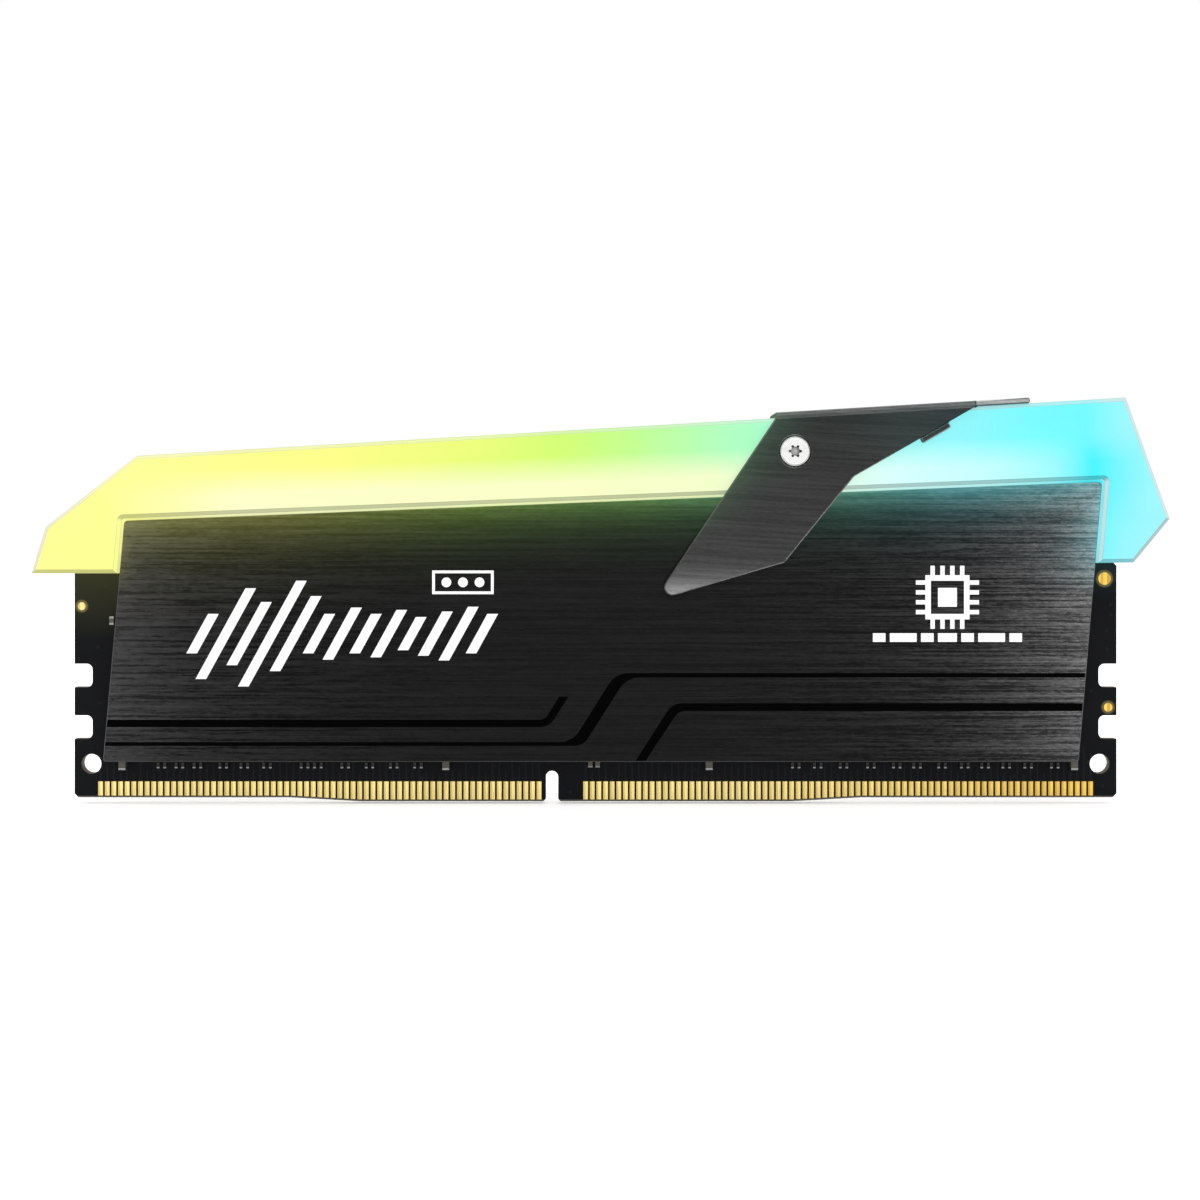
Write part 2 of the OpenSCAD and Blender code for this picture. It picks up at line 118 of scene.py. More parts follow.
# The light guide's colour along X: (x, screen colour)
GUIDE_HUES = [
    (-72, (255, 255, 150)),
    (-56, (255, 255, 146)),
    (-35, (251, 254, 134)),
    (-15, (230, 255, 118)),
    (-5, (210, 255, 112)),
    (5, (190, 253, 140)),
    (15, (176, 253, 184)),
    (30, (158, 250, 226)),
    (45, (146, 245, 250)),
    (55, (118, 246, 252)),
    (62, (108, 245, 252)),
    (67, (152, 244, 253)),
    (73, (164, 244, 253)),
]

# The paler band just above the heat spreader, nearest the lamps
BAND_HUES = [
    (-62, (255, 255, 146)),
    (-54, (251, 254, 172)),
    (-46, (249, 253, 198)),
    (0, (244, 253, 194)),
    (15, (240, 252, 200)),
    (40, (208, 253, 250)),
    (50, (192, 252, 252)),
    (58, (156, 248, 251)),
    (63, (60, 240, 252)),
    (70, (150, 243, 253)),
]

# Colours of the glow painted where the guide's light spills over the top of the heat spreaders
SPILL_HUES = [
    (-62, (238, 238, 110)),
    (-40, (236, 240, 120)),
    (-15, (196, 250, 110)),
    (5, (180, 255, 140)),
    (20, (150, 240, 170)),
    (45, (130, 245, 250)),
    (62, (125, 245, 255)),
]


# ---------- Building finishes ----------


def srgb(red, green, blue):
    """Linear colour with alpha from screen values of 0 to 255."""

    def linear(value):
        value /= 255
        return value / 12.92 if value <= 0.04045 else ((value + 0.055) / 1.055) ** 2.4

    return (linear(red), linear(green), linear(blue), 1)


class Finish:
    """One procedural material, built node by node round a Principled shader."""

    def __init__(self, name, sockets):
        self.material = bpy.data.materials.new(name)
        self.material.use_nodes = True
        self.tree = self.material.node_tree
        self.shader = self.tree.nodes["Principled BSDF"]
        for socket, value in sockets.items():
            self.set(socket, value)
        place = self.add("TexCoord").outputs["Object"]
        self.place = self.vector("MULTIPLY", place, (1 / MM, 1 / MM, 1 / MM))
        self.x, self.y, self.z = self.axes(self.place)

    def plug(self, socket, value):
        if isinstance(value, bpy.types.NodeSocket):
            self.tree.links.new(value, socket)
        else:
            socket.default_value = value

    def set(self, socket, value):
        self.plug(self.shader.inputs[socket], value)

    def add(self, kind, inputs=(), **settings):
        node = self.tree.nodes.new("ShaderNode" + kind)
        for name, value in settings.items():
            setattr(node, name, value)
        for socket, value in dict(inputs).items():
            self.plug(node.inputs[socket], value)
        return node

    def math(self, operation, *values, clamp=False):
        node = self.add("Math", enumerate(values), operation=operation, use_clamp=clamp)
        return node.outputs[0]

    def vector(self, operation, *values):
        return self.add("VectorMath", enumerate(values), operation=operation).outputs[0]

    def axes(self, vector):
        return self.add("SeparateXYZ", {0: vector}).outputs

    def span(self, value, low, high, at_low=0.0, at_high=1.0):
        """value carried from the range low..high to at_low..at_high, and held at its ends."""
        inputs = {0: value, 1: low, 2: high, 3: at_low, 4: at_high}
        return self.add("MapRange", inputs).outputs[0]

    def mix(self, factor, first, second):
        """Colour that goes from first to second as factor goes from 0 to 1."""
        return self.add("Mix", {0: factor, 6: first, 7: second}, data_type="RGBA").outputs[2]

    def scaled(self, colour, amount):
        """colour made so many times brighter."""
        node = self.add("VectorMath", {0: colour, "Scale": amount}, operation="SCALE")
        return node.outputs[0]

    def ramp(self, value, stops):
        """Colour along value, from stops of (value, screen colour)."""
        low, high = stops[0][0], stops[-1][0]
        node = self.add("ValToRGB", {"Fac": self.span(value, low, high)})
        elements = node.color_ramp.elements
        elements[0].color = srgb(*stops[0][1])
        elements[1].color = srgb(*stops[-1][1])
        for at, colour in stops[1:-1]:
            elements.new((at - low) / (high - low)).color = srgb(*colour)
        return node.outputs["Color"]

    def noise(self, grain, detail=2.0, place=None):
        """Noise from 0 to 1 whose grain is so many mm long in x, y and z."""
        scaled = self.vector("DIVIDE", place or self.place, grain)
        node = self.add("TexNoise", {"Vector": scaled, "Scale": 1.0, "Detail": detail})
        return node.outputs["Fac"]

    def cells(self, spacing, randomness=1.0):
        """Distance in cells from scattered points that lie so many mm apart."""
        scaled = self.vector("DIVIDE", self.place, (spacing, spacing, spacing))
        inputs = {"Vector": scaled, "Scale": 1.0, "Randomness": randomness}
        return self.add("TexVoronoi", inputs).outputs["Distance"]

    def chance(self, value):
        """A random number from 0 to 1 for each value."""
        return self.add("TexWhiteNoise", {"W": value}, noise_dimensions="1D").outputs["Value"]

    def facing(self):
        """The x, y and z of the surface's own direction."""
        return self.axes(self.add("NewGeometry").outputs["True Normal"])

    def flat_on(self):
        """1 on faces towards the front or back, 0 on edges and chamfers."""
        return self.math("GREATER_THAN", self.math("ABSOLUTE", self.facing()["Y"]), 0.9)

    def bump(self, height, depth):
        """Relief from a height of 0 to 1 that is depth mm deep."""
        inputs = {"Height": height, "Distance": depth * MM, "Strength": 1.0}
        self.set("Normal", self.add("Bump", inputs).outputs["Normal"])


def speckled(name, dark, light, grain, rough, sockets, relief=0.0):
    """A finish whose colour and roughness wander between two values with one noise."""
    finish = Finish(name, sockets)
    grains = finish.noise((grain, grain, grain), detail=4.0)
    finish.set("Base Color", finish.mix(grains, srgb(*dark), srgb(*light)))
    finish.set("Roughness", finish.span(grains, 0.3, 0.7, rough[0], rough[1]))
    if relief:
        finish.bump(grains, relief)
    return finish


# ---------- Finishes ----------


def along_top_line(finish):
    """Height above the heat spreader's top line, in mm: negative on the spreader."""
    top = finish.math("MULTIPLY_ADD", finish.x, TOP_LINE_SLOPE, TOP_LINE_Z)
    return finish.math("SUBTRACT", finish.z, top)


def distance_to(finish, x, z):
    """Distance in mm from the point (x, z) on the module's face."""
    along = finish.math("SUBTRACT", finish.x, x)
    up = finish.math("SUBTRACT", finish.z, z)
    squares = finish.math("MULTIPLY_ADD", along, along, finish.math("MULTIPLY", up, up))
    return finish.math("SQRT", squares)


def within_contacts(finish):
    """1 where x lies within one of the two rows of contacts."""
    rows = []
    for low, high in CONTACT_ROWS:
        rows.append(finish.math("MULTIPLY", finish.math("GREATER_THAN", finish.x, low),
                                finish.math("LESS_THAN", finish.x, high)))
    return finish.math("MAXIMUM", *rows)


def contact_columns(finish):
    """Number of the nearest contact along the card edge, and how far x is past its middle."""
    across = finish.math("DIVIDE", finish.math("SUBTRACT", finish.x, CONTACT_X), CONTACT_PITCH)
    column = finish.math("FLOOR", finish.math("ADD", across, 0.5))
    return column, finish.math("SUBTRACT", across, column)


def solder_mask():
    """Black lacquered laminate with faint tracks, covered vias and a bare brown edge."""
    finish = Finish("solder_mask", {"Specular IOR Level": 0.04})
    flat = finish.flat_on()
    column, past_middle = contact_columns(finish)
    reach = finish.span(finish.chance(column), 0, 1, 3.2, 8.0)
    track = finish.math("LESS_THAN", finish.math("ABSOLUTE", past_middle), TRACK_HALF_WIDTH)
    track = finish.math("MULTIPLY", track, finish.math("LESS_THAN", finish.z, reach))
    track = finish.math("MULTIPLY", track, within_contacts(finish))
    via = finish.math("LESS_THAN", finish.cells(1.9, 0.7), 0.12)
    cloud = finish.noise((9, 9, 9))
    weave = finish.noise((0.5, 0.5, 0.5), detail=3.0)
    lacquer = finish.mix(cloud, srgb(13, 14, 16), srgb(21, 22, 24))
    raised = finish.math("MAXIMUM", track, via)
    lacquer = finish.mix(finish.math("MULTIPLY", raised, 0.2), lacquer, srgb(44, 48, 50))
    for x, z, radius in TEST_PADS:
        ring = finish.span(distance_to(finish, x, z), radius + 0.15, radius + 0.4, 0.4, 0)
        front = finish.math("MULTIPLY", ring, finish.math("LESS_THAN", finish.y, 0.0))
        lacquer = finish.mix(front, lacquer, srgb(150, 138, 92))
    window = finish.math("LESS_THAN", finish.z, CONTACT_TOP + 0.1)
    window = finish.math("MULTIPLY", window, within_contacts(finish))
    lacquer = finish.mix(window, lacquer, srgb(40, 32, 17))
    layers = finish.noise((4, 0.12, 4), detail=1.0)
    edge = finish.mix(layers, srgb(44, 38, 28), srgb(84, 74, 56))
    lift = finish.math("ADD", finish.span(finish.x, -39, -30, 0.5, 0),
                       finish.span(finish.x, 25, 34, 0, 0.5))
    bevel = finish.math("LESS_THAN", finish.math("SUBTRACT", finish.z, lift), 0.2)
    lacquer = finish.mix(bevel, lacquer, srgb(92, 90, 84))
    finish.set("Base Color", finish.mix(flat, edge, lacquer))
    finish.set("Roughness", finish.span(weave, 0.3, 0.7, 0.34, 0.5))
    finish.bump(finish.math("MULTIPLY_ADD", raised, 1.5, weave), 0.006)
    # Glow painted on the board's upper part nearest the guide, standing in for the guide's light
    # falling on it
    spill = finish.span(along_top_line(finish), -15, -7, 0, 0.028)
    finish.set("Emission Color", finish.ramp(finish.x, GUIDE_HUES))
    finish.set("Emission Strength", finish.math("MULTIPLY", spill, flat))
    return finish


def plated_gold():
    """Gold plate, each contact a little different and its left part in painted shade, rubbed by
    the socket near its foot.
    """
    finish = Finish("plated_gold", {"Metallic": 1.0})
    column, past_middle = contact_columns(finish)
    # The left part of each contact is darker: painted shade
    shade = finish.span(past_middle, -0.16, 0.02, 0.7, 1.0)
    own = finish.span(finish.chance(column), 0, 1, 0.88, 1.06)
    rubs = finish.noise((0.05, 0.4, 1.6), detail=3.0)
    tone = finish.math("MULTIPLY", finish.math("MULTIPLY", shade, own),
                       finish.span(rubs, 0.3, 0.7, 0.86, 1.08))
    gold = finish.mix(rubs, srgb(240, 210, 120), srgb(252, 234, 166))
    gold = finish.mix(finish.span(finish.x, 20, 62), gold, srgb(232, 190, 88))
    finish.set("Base Color", finish.scaled(gold, tone))
    worn = finish.span(finish.z, 0.4, 2.0, 0.36, 0.24)
    finish.set("Roughness", finish.math("ADD", worn, finish.span(rubs, 0.3, 0.7, -0.06, 0.08)))
    finish.bump(rubs, 0.004)
    return finish


def brushed(name, angle, dark, light, sockets):
    """Brushed anodised metal: grooves along X, turned by angle, that vary in tone and depth."""
    finish = Finish(name, {"Metallic": 1.0, **sockets})
    turn = {"Vector": finish.place, "Angle": angle}
    place = finish.add("VectorRotate", turn, rotation_type="Y_AXIS").outputs[0]
    long_grooves = finish.noise((45, 0.3, 0.3), detail=1.0, place=place)
    short_grooves = finish.noise((7, 0.26, 0.26), detail=1.0, place=place)
    specks = finish.noise((0.8, 0.2, 0.2), detail=1.0, place=place)
    grooves = finish.math("MULTIPLY", long_grooves, 0.4)
    grooves = finish.math("MULTIPLY_ADD", short_grooves, 0.35, grooves)
    grooves = finish.math("MULTIPLY_ADD", specks, 0.25, grooves)
    finish.grooves = grooves
    finish.metal = finish.mix(finish.span(grooves, 0.41, 0.61), dark, light)
    along = (math.cos(angle), 0.0, math.sin(angle))
    normal = finish.add("NewGeometry").outputs["True Normal"]
    finish.set("Tangent", finish.vector("CROSS_PRODUCT", normal, along))
    finish.set("Roughness", finish.span(grooves, 0.35, 0.65, 0.25, 0.32))
    finish.bump(grooves, 0.03)
    return finish


def from_end(finish, end, lean, inwards):
    """Distance from one slanted end of the heat spreader, in mm."""
    up = finish.math("SUBTRACT", finish.z, SPREADER_FOOT)
    edge = finish.math("MULTIPLY_ADD", up, lean, end)
    return finish.math("MULTIPLY", finish.math("SUBTRACT", finish.x, edge), inwards)


def fading(finish, distance, reach):
    """1 at no distance, fading away over a few times the reach in mm."""
    return finish.math("POWER", math.e, finish.math("DIVIDE", distance, -reach))


def guide_spill(finish):
    """Glow painted on the heat spreader where the guide's light reaches it, along its top and
    upper ends.
    """
    from_top = finish.math("MULTIPLY", along_top_line(finish),
                           finish.span(finish.x, -60, 10, -0.6, -1.0))
    left = from_end(finish, SPREADER_LEFT, SPREADER_LEFT_LEAN, 1.0)
    right = from_end(finish, SPREADER_RIGHT, SPREADER_RIGHT_LEAN, -1.0)
    ends = fading(finish, finish.math("MINIMUM", left, right), 2.4)
    ends = finish.math("MULTIPLY", ends, finish.span(finish.z, 26.5, 33, 0, 0.7))
    near = finish.math("MAXIMUM", fading(finish, from_top, 1.9), ends)
    return finish.math("MULTIPLY", near, finish.span(finish.x, 0, 55, 0.17, 0.33))


def black_spreader():
    """Black brushed aluminium, with the guide's light spilling over its upper edges as a painted
    glow, and its brush marks evened out in the middle and kept bold near the ends as painted
    sheen.
    """
    finish = brushed("black_spreader", 0.0, (0.0052, 0.0052, 0.0053, 1),
                     (0.0168, 0.0168, 0.0169, 1), {"Anisotropic": 0.9})
    # Brush marks keep their full contrast only towards the ends: painted sheen, evened out in the
    # middle
    middle_without_sheen = finish.span(finish.math("ABSOLUTE", finish.x), 12, 46, 0.65, 0)
    metal = finish.mix(middle_without_sheen, finish.metal, (0.0104, 0.0104, 0.0105, 1))
    finish.set("Base Color", finish.mix(finish.flat_on(), srgb(70, 70, 70), metal))
    streak = finish.span(finish.grooves, 0.35, 0.65, 0.75, 1.25)
    # The guide's light on the spreader is painted as a glow
    finish.set("Emission Color", finish.ramp(finish.x, SPILL_HUES))
    finish.set("Emission Strength", finish.math("MULTIPLY", guide_spill(finish), streak))
    return finish


def clip_painted_light(finish, folded, flat):
    """Painted light on the clip: how much brighter each region is than its plain metal, with
    painted highlights at the tip, on the fold and on the fold's far end, and darker towards the
    top.
    """
    from_tip = finish.math("SUBTRACT", finish.z, CLIP_TIP_Z)
    # Painted highlight at the tip, fading within a few mm, on a tone that grows darker towards
    # the top
    painted_light = finish.math("MULTIPLY_ADD", fading(finish, from_tip, 1.3), 6.5,
                         finish.span(finish.z, 34, 48, 1.22, 0.85))
    # Painted highlight on the flat faces of the fold past the front's end
    painted_end_highlight = finish.math("MULTIPLY", finish.math("MULTIPLY", folded, flat),
                       finish.math("GREATER_THAN", finish.x, CLIP_FRONT_END))
    # Painted highlight along the fold
    painted_light = finish.math("ADD", painted_light, finish.math("MULTIPLY", folded, 1.5))
    return finish.math("MULTIPLY_ADD", painted_end_highlight, 7.0, painted_light)


def clip_spill(finish):
    """Glow painted on the clip's left edge and on its far end, where the guide's light reaches
    it.
    """
    left = finish.math("MULTIPLY_ADD", finish.z, -CLIP_LEAN, -CLIP_LEFT)
    from_left = finish.math("ADD", finish.x, left)
    above = finish.math("MULTIPLY", finish.span(finish.z, 33, 41), fading(finish, from_left, 2.6))
    far = finish.math("MULTIPLY", finish.span(finish.z, 42, 46), finish.span(finish.x, 28, 38))
    return finish.math("ADD", finish.math("MULTIPLY", above, 0.065),
                       finish.math("MULTIPLY", far, 0.018))


def clip_metal():
    """Dark grey brushed metal whose cut edges are bright bare metal, with painted shade on the
    edges and faces that look left, and painted highlights on its tip and fold.
    """
    finish = brushed("clip_metal", -CLIP_SLOPE, (0.027, 0.027, 0.027, 1),
                     (0.041, 0.041, 0.041, 1), {"Anisotropic": 0.88, "Specular IOR Level": 0.0})
    top = finish.math("MULTIPLY_ADD", finish.x, math.tan(CLIP_SLOPE), CLIP_TOP_Z)
    folded = finish.math("GREATER_THAN", finish.z, top)
    flat = finish.flat_on()
    nicks = finish.noise((0.6, 0.6, 0.6), detail=3.0)
    cut = finish.mix(nicks, srgb(104, 104, 104), srgb(160, 160, 160))
    # Cut edges that face left are darker: painted shade
    cut = finish.scaled(cut, finish.span(finish.facing()["X"], -0.5, 0.1, 0.4, 1.0))
    metal = finish.scaled(finish.metal, clip_painted_light(finish, folded, flat))
    whole = finish.math("MAXIMUM", flat, folded)
    finish.set("Base Color", finish.mix(whole, cut, metal))
    # Faces that look left lose their metal shine and show the darker cut colour: painted shade
    shaded_left_face = finish.math("LESS_THAN", finish.facing()["X"], -0.8)
    finish.set("Metallic", finish.math("SUBTRACT", 1.0, shaded_left_face))
    finish.set("Emission Color", finish.ramp(finish.x, SPILL_HUES))
    finish.set("Emission Strength", clip_spill(finish))
    return finish


def guide_hue(finish):
    """The guide's colour along X, paler above the heat spreader, greyer on its bevels as painted
    highlights, with painted shade on those that face down.
    """
    up = along_top_line(finish)
    facing = finish.facing()
    side = finish.math("ABSOLUTE", facing["Y"])
    depth = finish.math("ABSOLUTE", finish.y)
    hue = finish.ramp(finish.x, GUIDE_HUES)
    band = finish.math("MULTIPLY", finish.span(up, -10, 0.5),
                       finish.span(up, BAND_TOP, BAND_END, 1, 0))
    hue = finish.mix(band, hue, finish.ramp(finish.x, BAND_HUES))
    # Bevels that face up or outwards are painted paler grey, a painted highlight, most of all
    # round the two ends
    bevel = finish.math("MULTIPLY", finish.math("LESS_THAN", side, 0.9),
                        finish.math("GREATER_THAN", side, 0.2))
    grey = finish.math("MAXIMUM", finish.span(facing["Z"], 0.2, 0.6, 0, 0.65),
                       finish.span(finish.math("ABSOLUTE", facing["X"]), 0.3, 0.6, 0, 0.75))
    grey = finish.math("MULTIPLY", grey, finish.span(finish.math("ABSOLUTE", finish.x), 61, 65))
    grey = finish.math("MAXIMUM", grey, finish.span(facing["Z"], 0.2, 0.6, 0, 0.4))
    hue = finish.mix(finish.math("MULTIPLY", bevel, grey), hue, srgb(218, 220, 216))
    # A fine darker line runs along both edges of each bevel
    deep_line = GUIDE_FACE - GUIDE_BEVEL + EDGE_LINE
    line = finish.math("MAXIMUM", finish.math("LESS_THAN", depth, deep_line),
                       finish.math("GREATER_THAN", depth, GUIDE_FACE - EDGE_LINE))
    line = finish.math("MULTIPLY", finish.math("MULTIPLY", bevel, line), 0.18)
    hue = finish.mix(line, hue, (0.1, 0.1, 0.1, 1))
    # Bevels that face down, as above the heat spreader, are in shade
    lower = finish.math("MULTIPLY", bevel, finish.span(facing["Z"], -0.5, -0.1, 0.42, 0))
    hue = finish.mix(lower, hue, (0.02, 0.02, 0.03, 1))
    # The rim between the two faces is brightest along its middle, over the lamps
    rim = finish.math("MULTIPLY", finish.math("LESS_THAN", side, 0.2),
                      finish.span(depth, 0, GUIDE_FACE, 0.45, 0.05))
    hue = finish.mix(rim, hue, (1, 1, 1, 1))
    # Walls that face straight down on the heat spreader glow the palest
    inner = finish.math("MULTIPLY", finish.math("LESS_THAN", facing["Z"], -0.9), 0.4)
    return finish.mix(inner, hue, srgb(250, 252, 228))


def frosted_guide():
    """Frosted plastic lit from inside: yellow at the left through green to cyan."""
    finish = Finish("frosted_guide", {"Specular IOR Level": 0.2, "IOR": 1.49})
    hue = guide_hue(finish)
    cloud = finish.noise((14, 14, 5))
    frost = finish.noise((0.25, 0.25, 0.25), detail=3.0)
    glow = finish.math("ADD", finish.span(cloud, 0.3, 0.7, 0.68, 0.74),
                       finish.span(frost, 0.3, 0.7, -0.01, 0.01))
    finish.set("Emission Color", hue)
    finish.set("Emission Strength", glow)
    finish.set("Base Color", finish.mix(0.75, hue, (0, 0, 0, 1)))
    finish.set("Roughness", finish.span(frost, 0.3, 0.7, 0.36, 0.5))
    finish.bump(frost, 0.004)
    return finish


def turned_steel():
    """Bright nickel-plated screw steel with fine rings from the lathe, and painted shade in the
    recess of its head.
    """
    finish = Finish("turned_steel", {"Metallic": 1.0})
    radius = distance_to(finish, SCREW_X, SCREW_Z)
    rings = finish.math("SINE", finish.math("MULTIPLY", radius, 34.0))
    rings = finish.span(rings, -1, 1)
    stain = finish.noise((0.8, 0.8, 0.8), detail=3.0)
    metal = finish.mix(stain, srgb(216, 217, 215), srgb(234, 235, 233))
    depth = finish.math("SUBTRACT", SCREW_FACE, finish.math("ABSOLUTE", finish.y))
    sunk = finish.math("MULTIPLY", finish.math("GREATER_THAN", depth, 0.02),
                       finish.math("LESS_THAN", radius, 1.0))
    # The recess is painted in shade, darkest round its rim
    shade = finish.ramp(radius, [(0.0, (176, 176, 174)), (0.5, (132, 132, 130)),
                                 (0.62, (44, 44, 44)), (0.9, (30, 30, 30))])
    finish.set("Base Color", finish.mix(sunk, metal, shade))
    finish.set("Roughness", finish.span(stain, 0.3, 0.7, 0.2, 0.3))
    finish.bump(finish.math("MULTIPLY_ADD", rings, 0.7, stain), 0.012)
    return finish


def label_paper():
    """Blank white label with a thin border and three plain grey bars."""
    finish = Finish("label_paper", {"Specular IOR Level": 0.3})
    low, high = [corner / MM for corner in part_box("rating_label")]
    from_end = finish.math("MINIMUM", finish.math("SUBTRACT", finish.x, low.x),
                           finish.math("SUBTRACT", high.x, finish.x))
    from_foot = finish.math("SUBTRACT", finish.z, low.z)
    from_side = finish.math("MINIMUM", from_foot,
                            finish.math("SUBTRACT", high.z, finish.z))
    near = finish.math("MINIMUM", from_end, from_side)
    border = finish.math("COMPARE", near, 0.8, 0.09)
    stripe = finish.math("FRACT", finish.math("DIVIDE", from_foot, 2.6))
    bars = finish.math("MULTIPLY", finish.math("LESS_THAN", stripe, 0.22),
                       finish.math("GREATER_THAN", from_end, 3.0))
    bars = finish.math("MULTIPLY", bars, finish.math("GREATER_THAN", from_side, 2.0))
    fibre = finish.noise((0.3, 0.3, 0.3), detail=4.0)
    paper = finish.mix(fibre, srgb(226, 226, 222), srgb(242, 242, 239))
    ink = finish.math("MULTIPLY", finish.math("MAXIMUM", border, bars), 0.75)
    finish.set("Base Color", finish.mix(ink, paper, srgb(120, 122, 126)))
    finish.set("Roughness", finish.span(fibre, 0.3, 0.7, 0.45, 0.6))
    finish.bump(fibre, 0.006)
    return finish


def solder_ends():
    """Dull tinned ends, in shade where they reach under the heat spreader's foot."""
    finish = Finish("solder", {"Metallic": 1.0})
    grains = finish.noise((0.15, 0.15, 0.15), detail=4.0)
    tin = finish.mix(grains, srgb(112, 112, 111), srgb(168, 168, 166))
    shade = finish.math("MAXIMUM", finish.span(finish.z, 4.3, 4.8, 1, 0.2),
                        finish.span(finish.z, 8, 12))
    finish.set("Base Color", finish.scaled(tin, shade))
    finish.set("Roughness", finish.span(grains, 0.3, 0.7, 0.3, 0.5))
    finish.bump(grains, 0.02)
    return finish


def make_finishes():
    """Every finish by the name of its slot in the record."""
    return {
        "pcb": solder_mask(),
        "gold": plated_gold(),
        "chip_resin": speckled("chip_resin", (28, 28, 30), (46, 46, 48), 0.12, (0.5, 0.7),
                               {"Specular IOR Level": 0.25}, relief=0.01),
        "led_white": speckled("led_white", (226, 226, 220), (240, 240, 236), 0.4, (0.4, 0.55),
                              {"Specular IOR Level": 0.4}),
        "led_lens": speckled("led_lens", (240, 226, 120), (252, 240, 160), 0.2, (0.1, 0.2),
                             {"Emission Color": srgb(255, 250, 190), "Emission Strength": 1.2}),
        "capacitor_ceramic": speckled("capacitor_ceramic", (66, 62, 56), (92, 88, 80), 0.2,
                                      (0.35, 0.5), {"Specular IOR Level": 0.3}, relief=0.008),
        "solder": solder_ends(),
        "resistor_ceramic": speckled("resistor_ceramic", (22, 22, 24), (40, 40, 42), 0.15,
                                     (0.4, 0.55), {"Specular IOR Level": 0.25}),
        "thermal_pad": speckled("thermal_pad", (140, 146, 158), (168, 174, 184), 0.5,
                                (0.7, 0.85), {"Specular IOR Level": 0.2}, relief=0.03),
        "spreader_black": black_spreader(),
        "light_guide": frosted_guide(),
        "guide_tape": speckled("guide_tape", (206, 206, 198), (226, 226, 220), 0.6,
                               (0.5, 0.65), {"Specular IOR Level": 0.3}, relief=0.01),
        "clip_grey": clip_metal(),
        "foam_tape": speckled("foam_tape", (20, 20, 21), (38, 38, 39), 0.3, (0.8, 0.95),
                              {"Specular IOR Level": 0.1}, relief=0.05),
        "screw_steel": turned_steel(),
        "label_paper": label_paper(),
        "print_black": speckled("print_black", (1, 1, 1), (4, 4, 4), 0.4, (0.42, 0.55),
                                {"Specular IOR Level": 0.01}, relief=0.003),
        "print_white": speckled("print_white", (232, 232, 232), (246, 246, 246), 0.25,
                                (0.45, 0.6), {"Specular IOR Level": 0.3}, relief=0.004),
    }


def dress_nodes(finishes):
    """Gives each CAD node the finish of the slot that the record names for it."""
    for part in frame["record"]["subparts"]:
        surfaces = frame["nodes"][part["node"]].data.materials
        surfaces.clear()
        surfaces.append(finishes[part["material_slot"]].material)


# ---------- Edges ----------


def soften(name, width, segments=2):
    """Rounds a CAD node's sharp edges by width mm, without touching its mesh."""
    piece = frame["nodes"][name]
    weld = piece.modifiers.new("weld", "WELD")
    weld.merge_threshold = 0.001 * MM
    dissolve = piece.modifiers.new("dissolve", "DECIMATE")
    dissolve.decimate_type = "DISSOLVE"
    dissolve.angle_limit = math.radians(1)
    bevel = piece.modifiers.new("bevel", "BEVEL")
    bevel.width = width * MM
    bevel.segments = segments
    bevel.limit_method = "ANGLE"
    bevel.angle_limit = math.radians(40)
    bevel.use_clamp_overlap = False
    piece.modifiers.new("shade", "WEIGHTED_NORMAL").keep_sharp = True


def soften_edges():
    soften("trim_clip", 0.15, segments=1)
    soften("circuit_board", 0.05, segments=1)
    for part in ["dram_chips", "capacitors", "capacitor_ends", "resistor_ends"]:
        for side in ["front", "back"]:
            soften(part + "_" + side, 0.05)
    soften("led_housings", 0.08)


# ---------- Prints on the heat spreaders ----------


def corner_arc(before, corner, after, radius, steps=7):
    """Points of the arc that rounds a corner; points are complex numbers, x + zj."""
    into = (corner - before) / abs(corner - before)
    out = (after - corner) / abs(after - corner)
    turn = math.atan2((out / into).imag, (out / into).real)
    start = corner - into * radius * math.tan(abs(turn) / 2)
    spoke = into * (-1j if turn > 0 else 1j) * radius
    middle = start - spoke
    step = complex(math.cos(turn / steps), math.sin(turn / steps))
    return [middle + spoke * step**i for i in range(steps + 1)]


def rounded(corners):
    """Outline from corners (x, z, radius); a radius of 0 leaves a corner sharp."""
    points = [complex(x, z) for x, z, _ in corners]
    outline = []
    for i, (_, _, radius) in enumerate(corners):
        if radius:
            after = points[(i + 1) % len(points)]
            outline += corner_arc(points[i - 1], points[i], after, radius)
        else:
            outline.append(points[i])
    return outline


def add_print(mesh, outline, on_back):
    """Adds one flat print of ink with this outline to a bmesh."""
    face_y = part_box("heat_spreader_back")[1].y / MM
    side = 1 if on_back else -1
    sunk = side * (face_y - INK_SINK)
    corners = [mesh.verts.new((p.real * MM, sunk * MM, p.imag * MM)) for p in outline]
    face = mesh.faces.new(corners)
    grown = bmesh.ops.extrude_face_region(mesh, geom=[face])["geom"]
    raised = [part for part in grown if isinstance(part, bmesh.types.BMVert)]
    bmesh.ops.translate(mesh, verts=raised, vec=(0, side * (INK + INK_SINK) * MM, 0))


def make_prints(name, outlines, slot, finishes, on_back=False):
    """One piece made of several prints."""
    mesh = bmesh.new()
    for outline in outlines:
        add_print(mesh, outline, on_back)
    bmesh.ops.recalc_face_normals(mesh, faces=mesh.faces)
    data = bpy.data.meshes.new(name)
    mesh.to_mesh(data)
    mesh.free()
    data.materials.append(finishes[slot].material)
    piece = bpy.data.objects.new(name, data)
    bpy.context.scene.collection.objects.link(piece)
    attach(piece, "root")
    return piece


def left_end(z):
    return SPREADER_LEFT + (z - SPREADER_FOOT) * SPREADER_LEFT_LEAN + INK_MARGIN


def right_end(z):
    return SPREADER_RIGHT + (z - SPREADER_FOOT) * SPREADER_RIGHT_LEAN - INK_MARGIN


